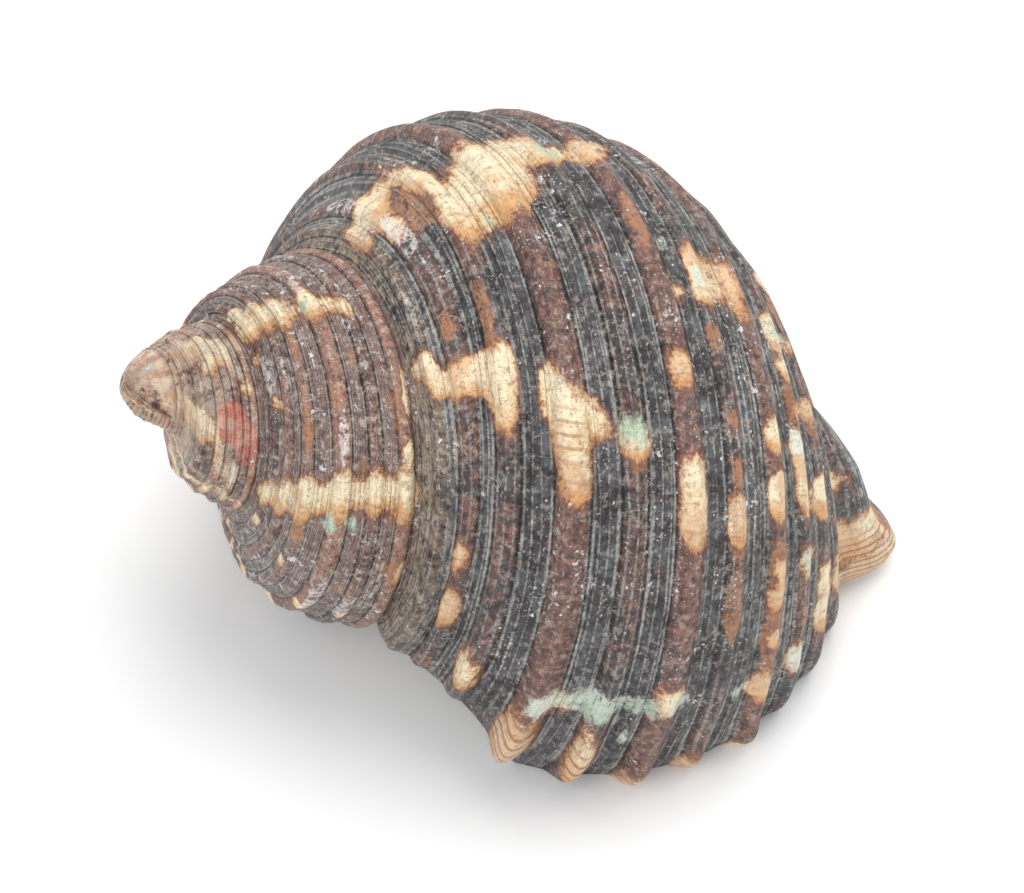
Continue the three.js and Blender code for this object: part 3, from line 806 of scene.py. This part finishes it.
def relief_tree():
    """Low waves along the growth lines and small worn lumps, lifted out of the skin."""
    tree = bpy.data.node_groups.new("Worn relief", "GeometryNodeTree")
    face = tree.interface
    face.new_socket("Geometry", in_out="INPUT", socket_type="NodeSocketGeometry")
    for name, kind in (("Growth Wave Height", "Float"), ("Growth Waves Per Degree", "Float"),
                       ("Lump Height", "Float"), ("Lumps Per Metre", "Float"), ("Seed", "Float"),
                       ("Outer Material", "Material"), ("Inner Material", "Material")):
        face.new_socket(name, in_out="INPUT", socket_type="NodeSocket" + kind)
    face.new_socket("Geometry", in_out="OUTPUT", socket_type="NodeSocketGeometry")

    def add(kind, settings, **links):
        node = tree.nodes.new(kind)
        for name, setting in settings.items():
            setattr(node, name, setting)
        for name, value in links.items():
            socket = node.inputs[int(name[1:])] if name[0] == "i" and name[1:].isdigit() else (
                node.inputs[name.replace("_", " ")])
            if isinstance(value, bpy.types.NodeSocket):
                tree.links.new(value, socket)
            else:
                socket.default_value = value
        return node

    given = add("NodeGroupInput", {}).outputs
    track = add("GeometryNodeInputNamedAttribute", {"data_type": "FLOAT_VECTOR"}, Name="track")
    weight = add("GeometryNodeInputNamedAttribute", {"data_type": "FLOAT"}, Name="relief")
    within = add("GeometryNodeInputNamedAttribute", {"data_type": "BOOLEAN"}, Name="inside")
    stretched = add("ShaderNodeVectorMath", {"operation": "MULTIPLY"},
                    i0=track.outputs[0], i1=WAVE_STRETCH)
    waves = add("ShaderNodeTexNoise", {"noise_dimensions": "4D"}, Vector=stretched.outputs[0],
                W=given["Seed"], Scale=given["Growth Waves Per Degree"], Detail=2.0)
    lumps = add("ShaderNodeTexNoise", {"noise_dimensions": "4D"},
                Vector=add("GeometryNodeInputPosition", {}).outputs[0],
                W=given["Seed"], Scale=given["Lumps Per Metre"], Detail=3.0)

    def math_of(operation, first, second):
        return add("ShaderNodeMath", {"operation": operation}, i0=first, i1=second).outputs[0]

    wave_lift = math_of("MULTIPLY", math_of("SUBTRACT", waves.outputs[0], 0.5),
                        given["Growth Wave Height"])
    lump_lift = math_of("MULTIPLY", math_of("SUBTRACT", lumps.outputs[0], 0.5), given["Lump Height"])
    lift = math_of("MULTIPLY", math_of("ADD", wave_lift, lump_lift), weight.outputs[0])
    offset = add("ShaderNodeVectorMath", {"operation": "SCALE"},
                 i0=add("GeometryNodeInputNormal", {}).outputs[0], Scale=lift)
    moved = add("GeometryNodeSetPosition", {}, Geometry=given["Geometry"], Offset=offset.outputs[0])
    outer = add("GeometryNodeSetMaterial", {}, Geometry=moved.outputs[0],
                Material=given["Outer Material"])
    inner = add("GeometryNodeSetMaterial", {}, Geometry=outer.outputs[0],
                Selection=within.outputs[0], Material=given["Inner Material"])
    whole = add("GeometryNodeRealizeInstances", {}, Geometry=inner.outputs[0])
    add("NodeGroupOutput", {}, Geometry=whole.outputs[0])
    return tree


def apply_relief(mesh, outer, inner):
    """Runs the relief tree over the mesh and gives the finished piece."""
    rough = bpy.data.objects.new("rough shell", mesh)
    bpy.context.scene.collection.objects.link(rough)
    tree = relief_tree()
    modifier = rough.modifiers.new("Worn relief", "NODES")
    modifier.node_group = tree
    values = RELIEF_SIZES | {"Outer Material": outer, "Inner Material": inner}
    for item in tree.interface.items_tree:
        if item.in_out == "INPUT" and item.name in values:
            modifier[item.identifier] = values[item.name]
    bpy.context.view_layer.update()
    evaluated = rough.evaluated_get(bpy.context.evaluated_depsgraph_get())
    finished = bpy.data.meshes.new_from_object(evaluated)
    finished.name = "turban shell"
    rough.modifiers.clear()
    bpy.data.objects.remove(rough)
    piece = bpy.data.objects.new("painted_shell", finished)
    bpy.context.scene.collection.objects.link(piece)
    return piece


def colour(red, green, blue):
    """A colour given as 0 to 255 display values, as the linear values that shaders use."""
    def linear(value):
        share = value / 255
        return share / 12.92 if share <= 0.04045 else ((share + 0.055) / 1.055) ** 2.4
    return (linear(red), linear(green), linear(blue), 1.0)


# Ground of the skin
CHARCOAL = colour(50, 44, 48)
SLATE = colour(92, 94, 98)
GREY_GREEN = colour(100, 108, 94)
SPIRE_BROWN = colour(150, 116, 106)
CORD_BROWN = colour(90, 60, 56)
CORD_RED = colour(148, 104, 90)
CORD_TAN = colour(156, 106, 82)
SPIRE_CORD = colour(188, 142, 122)
# Painted shade for the grooves beside the cords, also the colour of dark growth lines and grain
SHADE_AND_GRAIN_DARK = colour(20, 15, 17)
SEAM_DUST = colour(184, 160, 130)
# Pale threads, partly a painted highlight on the raised threads and along the cord edges
THREAD_PALE_AND_HIGHLIGHT = colour(190, 188, 182)
FLECK_DARK = colour(34, 27, 28)
FLECK_LIGHT = colour(202, 188, 172)
# Marks
ORANGE_BROWN = colour(184, 126, 86)
RIM_BROWN = colour(128, 78, 58)
RIM_TAN = colour(204, 148, 100)
CREAM = colour(249, 232, 196)
CREAM_TAN = colour(224, 174, 118)
FRECKLE = colour(168, 112, 78)
CREAM_ORANGE = colour(214, 150, 96)
GROWTH_LINE = colour(136, 80, 52)
MINT_WHITE = colour(232, 238, 224)
MINT = colour(188, 212, 186)
SALMON = colour(218, 126, 108)
# Wear, dust and grit
OLDEST_PALE = colour(226, 206, 182)
TIP_CREAM = colour(248, 222, 192)
TIP_TAN = colour(218, 168, 138)
WORN_WHITE = colour(232, 226, 220)
HAZE = colour(196, 184, 170)
GRIT_WHITE = colour(232, 230, 228)
# Callus, lining of the mouth, and floor
CALLUS_PALE = colour(238, 226, 204)
CALLUS_TAN = colour(214, 190, 156)
PORCELAIN = colour(236, 228, 212)
PEARL_GREY = colour(222, 220, 214)
LINING_TAN = colour(214, 194, 168)
FLOOR_GREY = colour(246, 246, 246)
FLOOR_WHITE = colour(250, 250, 249)


class Value:
    """A number in a shader, so that sums of them can be written as plain expressions."""

    def __init__(self, paint, socket):
        self.paint = paint
        self.socket = socket

    def math(self, operation, *others, clamp=False):
        return self.paint.value("ShaderNodeMath", {"operation": operation, "use_clamp": clamp},
                                [self, *others])

    def __add__(self, other):
        return self.math("ADD", other)

    def __radd__(self, other):
        return self.math("ADD", other)

    def __sub__(self, other):
        return self.math("SUBTRACT", other)

    def __rsub__(self, other):
        return self.paint.value("ShaderNodeMath", {"operation": "SUBTRACT"}, [other, self])

    def __mul__(self, other):
        return self.math("MULTIPLY", other)

    def __rmul__(self, other):
        return self.math("MULTIPLY", other)

    def most(self, other):
        return self.math("MAXIMUM", other)

    def least(self, other):
        return self.math("MINIMUM", other)

    def clamped(self):
        return self.math("ADD", 0.0, clamp=True)

    def rise(self, low, high):
        """0 below low, 1 above high, smooth between. With low above high it falls instead."""
        settings = {"interpolation_type": "SMOOTHSTEP"}
        if low < high:
            return self.paint.value("ShaderNodeMapRange", settings, [self, low, high, 0.0, 1.0])
        return self.paint.value("ShaderNodeMapRange", settings, [self, high, low, 1.0, 0.0])


class Paint:
    """Adds the nodes of one material."""

    def __init__(self, name):
        self.material = bpy.data.materials.new(name)
        self.material.use_nodes = True
        self.tree = self.material.node_tree
        self.tree.nodes.clear()

    def node(self, kind, settings, inputs):
        """A node with its settings, then its inputs by position or by name, as values or links."""
        node = self.tree.nodes.new(kind)
        for name, setting in settings.items():
            setattr(node, name, setting)
        pairs = inputs.items() if isinstance(inputs, dict) else enumerate(inputs)
        for key, given in pairs:
            if isinstance(given, Value):
                given = given.socket
            if isinstance(given, bpy.types.NodeSocket):
                self.tree.links.new(given, node.inputs[key])
            elif given is not None:
                node.inputs[key].default_value = given
        return node

    def value(self, kind, settings, inputs, output=0):
        return Value(self, self.node(kind, settings, inputs).outputs[output])

    def field(self, name):
        node = self.node("ShaderNodeAttribute", {"attribute_name": name}, [])
        return Value(self, node.outputs["Fac"])

    def noise(self, vector, scale, detail=2.0, roughness=0.5, seed=0.0):
        settings = {"noise_dimensions": "4D"}
        inputs = {"Vector": vector, "W": seed, "Scale": scale, "Detail": detail,
                  "Roughness": roughness}
        return self.value("ShaderNodeTexNoise", settings, inputs)

    def cells(self, vector, scale):
        """Distance to the nearest of many scattered points."""
        return self.value("ShaderNodeTexVoronoi", {}, {"Vector": vector, "Scale": scale})

    def vector(self, x, y, z=0.0):
        return self.node("ShaderNodeCombineXYZ", {}, [x, y, z]).outputs[0]

    def mix(self, share, under, over):
        node = self.node("ShaderNodeMix", {"data_type": "RGBA"}, {0: share, 6: under, 7: over})
        return node.outputs[2]

    def bump(self, height, depth, strength=1.0):
        """Light and shade as if the height, from 0 to 1, were this deep in metres."""
        inputs = {"Strength": strength, "Distance": depth, "Height": height}
        return self.node("ShaderNodeBump", {}, inputs).outputs[0]

    def finish(self, looks):
        """Ends the material with one shader, and gives the material."""
        shader = self.node("ShaderNodeBsdfPrincipled", {}, looks)
        self.node("ShaderNodeOutputMaterial", {}, [shader.outputs[0]])
        return self.material


# Fine threads in the grooves between cords lie this many degrees apart
THREAD_SPACING = 2.4
# Growth rings on the knobs: how fast their wave runs with the turn, a ring in about 2.3 degrees
RING_RATE = 2.7
# Noise over the spiral: how fine along the turn and across it, detail, roughness and seed
SPIRAL_NOISES = {
    "wander": (0.025, 0.06, 2.0, 0.5, 12.0),
    "ragged": (0.26, 0.32, 5.0, 0.72, 1.0),
    "patchy": (0.06, 0.04, 3.0, 0.55, 2.0),
    "bead": (1.1, 0.16, 2.0, 0.5, 9.0),
    "along": (0.05, 1.1, 3.0, 0.6, 4.0),
}
# Lines of growth: the same, and how many degrees a cord's crest sets them back
GROWTH_NOISE = (0.62, 0.03, 3.0, 0.6, 3.0)
GROWTH_SETBACK = 2.2
# Noise in space: how fine per millimetre, detail, roughness and seed
SPACE_NOISES = {
    "cluster": (0.28, 2.0, 0.5, 11.0),
    "flecks": (1.9, 3.0, 0.75, 13.0),
    "spread": (0.6, 4.0, 0.6, 5.0),
    "grain": (3.2, 3.0, 0.7, 6.0),
    "dust": (1.3, 4.0, 0.66, 7.0),
    "specks": (5.5, 2.0, 0.6, 8.0),
}
# Grains of white grit in a millimetre
GRIT_CELLS = {"small_grains": 2.3, "large_grains": 0.95}
# Where a look begins and where it is full, as turns and as places
EARLY_TURNS = (-325.0, -400.0)
OLDEST_TURNS = (-640.0, -800.0)
CALLUS_PLACES = (-93.0, -104.0)
CALLUS_TURNS = (-330.0, -300.0)
LOW_PLACES = (-6.0, -32.0)
SEAM_PLACES = (56.0, 72.0)
SEAM_TURNS = (-400.0, -340.0)
MARK_NAMES = ("tip", "crest", "cream", "ahead", "orange", "mint", "pink", "worn", "knob")


def millimetres(paint):
    """The point of the shell that is painted, in millimetres."""
    spot = paint.node("ShaderNodeTexCoord", {}, []).outputs["Object"]
    return paint.node("ShaderNodeVectorMath", {"operation": "SCALE"},
                      {0: spot, "Scale": 1 / METRE}).outputs[0]


def shell_fields(paint):
    """Everything that the skin's colours are worked out from: the marks, and noise of several sizes."""
    spiral = paint.node("ShaderNodeSeparateXYZ", {}, [
        paint.node("ShaderNodeUVMap", {"uv_map": "spiral"}, []).outputs[0]])
    turn = Value(paint, spiral.outputs[0]) * FULL_TURN
    place = Value(paint, spiral.outputs[1]) * QUARTER_TURN
    given = {name: paint.field(name) for name in MARK_NAMES}

    def spiral_noise(grown, fine_along, fine_across, detail, roughness, seed):
        stretched = paint.vector(grown * fine_along, place * fine_across)
        return paint.noise(stretched, 1.0, detail, roughness, seed)

    for name, sizes in SPIRAL_NOISES.items():
        given[name] = spiral_noise(turn, *sizes)
    given["growth"] = spiral_noise(turn + given["crest"] * GROWTH_SETBACK, *GROWTH_NOISE)
    given["ragged"] = given["ragged"] - 0.5
    spot = millimetres(paint)
    for name, sizes in SPACE_NOISES.items():
        given[name] = paint.noise(spot, *sizes)
    for name, fineness in GRIT_CELLS.items():
        given[name] = paint.cells(spot, fineness)
    threads = place * (2 * math.pi / THREAD_SPACING) + given["wander"] * 11.0
    rings = turn * RING_RATE + given["crest"] * 3.0 + given["wander"] * 9.0
    given["threads"] = threads.math("SINE").rise(0.15, 1.0)
    given["rings"] = rings.math("SINE").rise(0.35, 0.95)
    given["early"] = turn.rise(*EARLY_TURNS)
    given["oldest"] = turn.rise(*OLDEST_TURNS)
    given["callus"] = place.rise(*CALLUS_PLACES) * turn.rise(*CALLUS_TURNS)
    given["low_side"] = place.rise(*LOW_PLACES)
    given["seam"] = place.rise(*SEAM_PLACES) * turn.rise(*SEAM_TURNS)
    return given


def dark_ground(paint, given):
    """Charcoal and slate bands, brown cords, painted shade in the grooves beside the cords, and pale
    threads between them that are partly a painted highlight.
    """
    crest, spread, early, dust = given["crest"], given["spread"], given["early"], given["dust"]
    grain, patchy, along = given["grain"], given["patchy"], given["along"]
    tone = paint.mix(spread.rise(0.38, 0.64), CHARCOAL, SLATE)
    green = given["low_side"] * 0.6 + along.rise(0.5, 0.62) * 0.3
    tone = paint.mix(green.clamped() * dust.rise(0.4, 0.6) * 0.6, tone, GREY_GREEN)
    tone = paint.mix(early * 0.8, tone, SPIRE_BROWN)
    brown = (crest * 1.05 + (patchy - 0.5) * 2.4 + (dust - 0.5) * 1.6).rise(0.35, 0.95)
    brown_tone = paint.mix(dust.rise(0.38, 0.62), CORD_BROWN, CORD_RED)
    brown_tone = paint.mix(along.rise(0.48, 0.64) * 0.45, brown_tone, CORD_TAN)
    brown_tone = paint.mix(early * 0.6, brown_tone, SPIRE_CORD)
    tone = paint.mix(brown * 0.9, tone, brown_tone)
    # Painted shade: the grooves beside the cords are darkened as if in shade; dark growth lines and grain
    # go into the same mix
    groove_edge_shade = crest.rise(0.02, 0.3) * crest.rise(0.75, 0.35)
    shade = (given["growth"] * 0.5 + grain * 0.7 + groove_edge_shade * 0.3).rise(0.58, 0.86)
    tone = paint.mix(shade * 0.85, tone, SHADE_AND_GRAIN_DARK)
    seam_dust = given["seam"] * (dust * 0.6 + grain * 0.4 + given["cluster"] * 0.4).rise(0.58, 0.78)
    tone = paint.mix(seam_dust * 0.75, tone, SEAM_DUST)
    # Pale lines on the threads and along both cord edges: partly the threads' pale colour, partly a painted
    # highlight on the raised relief
    line = given["threads"] * (1 - crest * 0.9).rise(0.0, 0.6) * given["bead"].rise(0.3, 0.6)
    line = line.most(crest.rise(0.03, 0.12) * crest.rise(0.42, 0.2) * 1.2)
    line = line * (spread * 0.6 + patchy * 0.7 + given["ragged"] * 0.9).rise(0.42, 0.8)
    line = line * (0.45 + grain.rise(0.35, 0.65) * 0.55)
    tone = paint.mix((line * 0.9).clamped(), tone, THREAD_PALE_AND_HIGHLIGHT)
    flecks = given["flecks"]
    tone = paint.mix(flecks.rise(0.46, 0.38) * 0.55, tone, FLECK_DARK)
    light = flecks.rise(0.53, 0.62) * (0.38 + given["seam"] * 0.25 + early * 0.36)
    return paint.mix(light, tone, FLECK_LIGHT)


def flames(paint, given, tone):
    """Cream flames that fade through tan and orange brown, and the mint and pink marks."""
    edge = given["ragged"] * 1.9 + (given["spread"] - 0.5) * 1.5 + (given["grain"] - 0.5) * 1.3
    edge = edge + given["crest"].least(0.8) * 0.75 - 0.45
    orange = (given["orange"] + edge).rise(0.0, 0.7)
    freckled = (given["grain"] + given["ragged"]).rise(0.3, 0.55)
    tone = paint.mix(orange * freckled * 0.8, tone, ORANGE_BROWN)
    depth = given["cream"] + edge
    tone = paint.mix(depth.rise(-0.5, 0.15) * 0.7, tone, RIM_BROWN)
    tone = paint.mix(depth.rise(-0.1, 0.45), tone, RIM_TAN)
    warm = (given["dust"] * 0.5 + given["ahead"] * 0.32 + given["ragged"] * 0.6).rise(0.2, 0.5)
    cream = paint.mix(warm, CREAM, CREAM_TAN)
    cream = paint.mix(given["flecks"].rise(0.46, 0.38) * 0.55, cream, FRECKLE)
    cream = paint.mix(orange * 0.5, cream, CREAM_ORANGE)
    tone = paint.mix(depth.rise(0.1, 0.75), tone, cream)
    lines = given["growth"].rise(0.55, 0.66) * 0.3
    lines = lines.most(given["rings"] * given["knob"].rise(0.15, 0.7) * 0.7)
    tone = paint.mix(lines * depth.rise(0.0, 0.4), tone, GROWTH_LINE)
    mint = (given["mint"] + edge + given["ragged"]).rise(-0.2, 0.6)
    pale = paint.mix(given["patchy"].rise(0.4, 0.6), MINT_WHITE, MINT)
    tone = paint.mix(mint * given["flecks"].rise(0.3, 0.46) * 0.85, tone, pale)
    pink = (given["pink"] + given["ragged"] * 1.2).rise(-0.1, 0.4) * given["flecks"].rise(0.34, 0.46)
    return paint.mix(pink * 0.85, tone, SALMON)


# How deep the painted relief of the skin and of the lining looks, in metres
SKIN_BUMP = 0.0005
LINING_BUMP = 0.00008


def shell_paint():
    """The outer skin: dark bands and cords, flames, the worn tip, worn lines and white grit."""
    paint = Paint("painted shell")
    given = shell_fields(paint)
    spread, grain, dust, specks = given["spread"], given["grain"], given["dust"], given["specks"]
    tone = flames(paint, given, dark_ground(paint, given))
    pale = given["oldest"] * (spread + grain * 0.4).rise(0.64, 0.8) * 0.5
    tone = paint.mix(pale, tone, OLDEST_PALE)
    bare = given["tip"] * (spread + (given["flecks"] - 0.5) * 1.2).rise(0.22, 0.46)
    tone = paint.mix(bare * 0.92, tone, paint.mix(dust.rise(0.4, 0.6), TIP_CREAM, TIP_TAN))
    wear = (given["along"].rise(0.45, 0.6) * 0.7).most(given["crest"].rise(0.35, 0.7))
    wear = wear * (given["worn"] + given["ragged"] * 2.4).rise(0.0, 0.4)
    wear = wear * given["flecks"].rise(0.4, 0.52) * (grain + dust).rise(0.8, 1.1)
    tone = paint.mix(wear * 0.9, tone, WORN_WHITE)
    crowd = given["cluster"] - 0.5
    haze = (grain * 0.5 + specks * 0.6 + crowd * 0.3).rise(0.58, 0.8)
    tone = paint.mix(haze * 0.3, tone, HAZE)
    grit = (0.14 + crowd * 1.1 + (dust - 0.5) * 1.5 - given["small_grains"]).rise(0.0, 0.16)
    grit = grit * specks.rise(0.36, 0.56)
    dusting = specks * 0.7 + grain * 0.5 + crowd * 0.45 + (given["threads"] - 0.5) * 0.1
    grit = grit.most(dusting.rise(0.71, 0.8) * 0.75)
    large = 0.05 + given["early"] * 0.06 + crowd + (grain - 0.5) * 1.3
    grit = grit.most((large - given["large_grains"]).rise(0.0, 0.08))
    tone = paint.mix(grit * 0.9, tone, GRIT_WHITE)
    callus = (given["callus"] + (spread - 0.5) * 0.7).rise(0.3, 0.7)
    tone = paint.mix(callus, tone, paint.mix(dust, CALLUS_PALE, CALLUS_TAN))
    rough = 0.42 + spread * 0.2 + grit * 0.2 + wear * 0.15
    height = given["growth"] * 0.5 + grain * 0.5 + dust * 0.5 + grit * 0.25
    height = height + given["threads"] * (1 - given["crest"] * 0.8) * 0.3 + given["bead"] * 0.25
    height = (height + given["crest"] * 0.9) * (1 - callus * 0.85)
    return paint.finish({
        "Base Color": tone, "Roughness": rough, "Normal": paint.bump(height, SKIN_BUMP), "IOR": 1.5,
        "Specular IOR Level": 0.45, "Coat Weight": 0.1, "Coat Roughness": 0.3})


def mouth_paint():
    """The mouth's inner side: pale porcelain with a faint pearly and yellowish change."""
    paint = Paint("mouth lining")
    spot = millimetres(paint)
    broad = paint.noise(spot, 0.14, 2.0, 0.5, 7.0)
    fine = paint.noise(spot, 2.4, 3.0, 0.6, 8.0)
    tone = paint.mix(broad.rise(0.35, 0.65), PORCELAIN, PEARL_GREY)
    tone = paint.mix(fine.rise(0.55, 0.75) * 0.4, tone, LINING_TAN)
    return paint.finish({
        "Base Color": tone, "Roughness": 0.28 + fine * 0.15, "Normal": paint.bump(fine, LINING_BUMP, 0.3),
        "Coat Weight": 0.25, "Coat Roughness": 0.15})


def floor_paint():
    """Plain pale floor with a barely seen unevenness."""
    paint = Paint("pale floor")
    where = paint.node("ShaderNodeTexCoord", {}, []).outputs["Object"]
    cloud = paint.noise(where, 6.0, 2.0, 0.5, 9.0)
    tone = paint.mix(cloud, FLOOR_GREY, FLOOR_WHITE)
    return paint.finish({"Base Color": tone, "Roughness": 0.8})


# The camera stands where the photo was taken from, with a long lens
CAMERA_SIDE = 258.0
CAMERA_LIFT = 57.5
CAMERA_LENS = 400.0
SENSOR = 36.0
FRAME_SHARE = 0.76
FRAME_ASPECT = 1024 / 893
CAMERA_NEAR = 0.01


def set_camera(piece):
    side, lift = math.radians(CAMERA_SIDE), math.radians(CAMERA_LIFT)
    back = Vector((math.cos(side) * math.cos(lift), math.sin(side) * math.cos(lift), math.sin(lift)))
    turned = (-back).to_track_quat("-Z", "Y")
    right, up = turned @ Vector((1, 0, 0)), turned @ Vector((0, 1, 0))
    points = np.array([vertex.co for vertex in piece.data.vertices])
    spans = []
    middle = Vector((0, 0, 0))
    for axis in (right, up, back):
        reach = points @ np.array(axis)
        spans.append(reach.max() - reach.min())
        middle += axis * float(reach.max() + reach.min()) / 2
    width = max(spans[0], spans[1] * FRAME_ASPECT) / FRAME_SHARE
    camera = bpy.data.objects.new("camera", bpy.data.cameras.new("camera"))
    camera.data.lens = CAMERA_LENS
    camera.data.sensor_width = SENSOR
    camera.data.clip_start = CAMERA_NEAR
    camera.rotation_euler = turned.to_euler()
    camera.location = middle + back * (width * CAMERA_LENS / SENSOR)
    bpy.context.scene.collection.objects.link(camera)
    bpy.context.scene.camera = camera


# Soft round lights: name, size, power, place and tint
LIGHTS = [
    ("soft key", 0.8, 5.0, (0.24, 0.22, 0.74), (1.0, 0.985, 0.96)),
    ("soft fill", 0.9, 3.0, (-0.4, -0.5, 0.7), (0.96, 0.98, 1.0)),
]
STUDIO_TINT = (0.9, 0.92, 0.95, 1)
STUDIO_STRENGTH = 0.7
# The floor's half width, and the hair's breadth that it lies under the shell
FLOOR_REACH = 2.0
FLOOR_GAP = 0.00002


def add_light(name, size, power, place, tint):
    light = bpy.data.lights.new(name, "AREA")
    light.shape = "DISK"
    light.size = size
    light.energy = power
    light.color = tint
    holder = bpy.data.objects.new(name, light)
    holder.location = place
    holder.rotation_euler = (-Vector(place)).to_track_quat("-Z", "Y").to_euler()
    bpy.context.scene.collection.objects.link(holder)


def set_stage():
    floor_mesh = bpy.data.meshes.new("floor")
    ends = [(-FLOOR_REACH, -FLOOR_REACH, 0), (FLOOR_REACH, -FLOOR_REACH, 0),
            (FLOOR_REACH, FLOOR_REACH, 0), (-FLOOR_REACH, FLOOR_REACH, 0)]
    floor_mesh.from_pydata(ends, [], [(0, 1, 2, 3)])
    floor_mesh.materials.append(floor_paint())
    floor = bpy.data.objects.new("floor", floor_mesh)
    floor.location.z = -FLOOR_GAP
    bpy.context.scene.collection.objects.link(floor)
    for light in LIGHTS:
        add_light(*light)
    world = bpy.data.worlds.new("studio")
    world.use_nodes = True
    glow = world.node_tree.nodes["Background"]
    glow.inputs[0].default_value = STUDIO_TINT
    glow.inputs[1].default_value = STUDIO_STRENGTH
    bpy.context.scene.world = world
    bpy.context.scene.view_settings.view_transform = "Standard"


def build_shell():
    skin = Skin()
    places = skin_columns()
    rows, spirals, edge = wind_whorls(skin, places)
    close_tip(skin, rows, spirals)
    open_mouth(skin, rows, places, edge)
    mesh, face_spirals, inside = mesh_of(skin)
    paint_fields(mesh, face_spirals)
    relief_weights(mesh, face_spirals, inside)
    piece = apply_relief(mesh, shell_paint(), mouth_paint())
    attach(piece, "root")
    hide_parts("turban_shell")
    return piece


shell = build_shell()
set_camera(shell)
set_stage()
